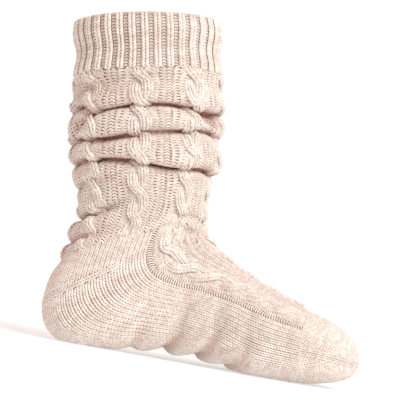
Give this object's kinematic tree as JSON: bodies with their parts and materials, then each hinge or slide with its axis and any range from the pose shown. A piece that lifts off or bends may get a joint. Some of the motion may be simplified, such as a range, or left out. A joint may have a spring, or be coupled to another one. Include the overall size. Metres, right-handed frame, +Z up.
{
  "type": "slipper sock",
  "caption": "Chunky cable-knit slouch sock for the house, with a ribbed cuff and dropped folds, standing empty on its sole.",
  "frame": {"origin": "centre of the bounding box in plan, on the floor under the sole", "axes": "+X from heel to toe, +Y to the sock's left side, +Z up; the sole rests on Z = 0"},
  "size_m": [0.2562, 0.1054, 0.2579],
  "materials": {
    "cream_yarn": "matte"
  },
  "bodies": {
    "root": {"knitted_sock": "cream_yarn"}
  },
  "joints": []
}
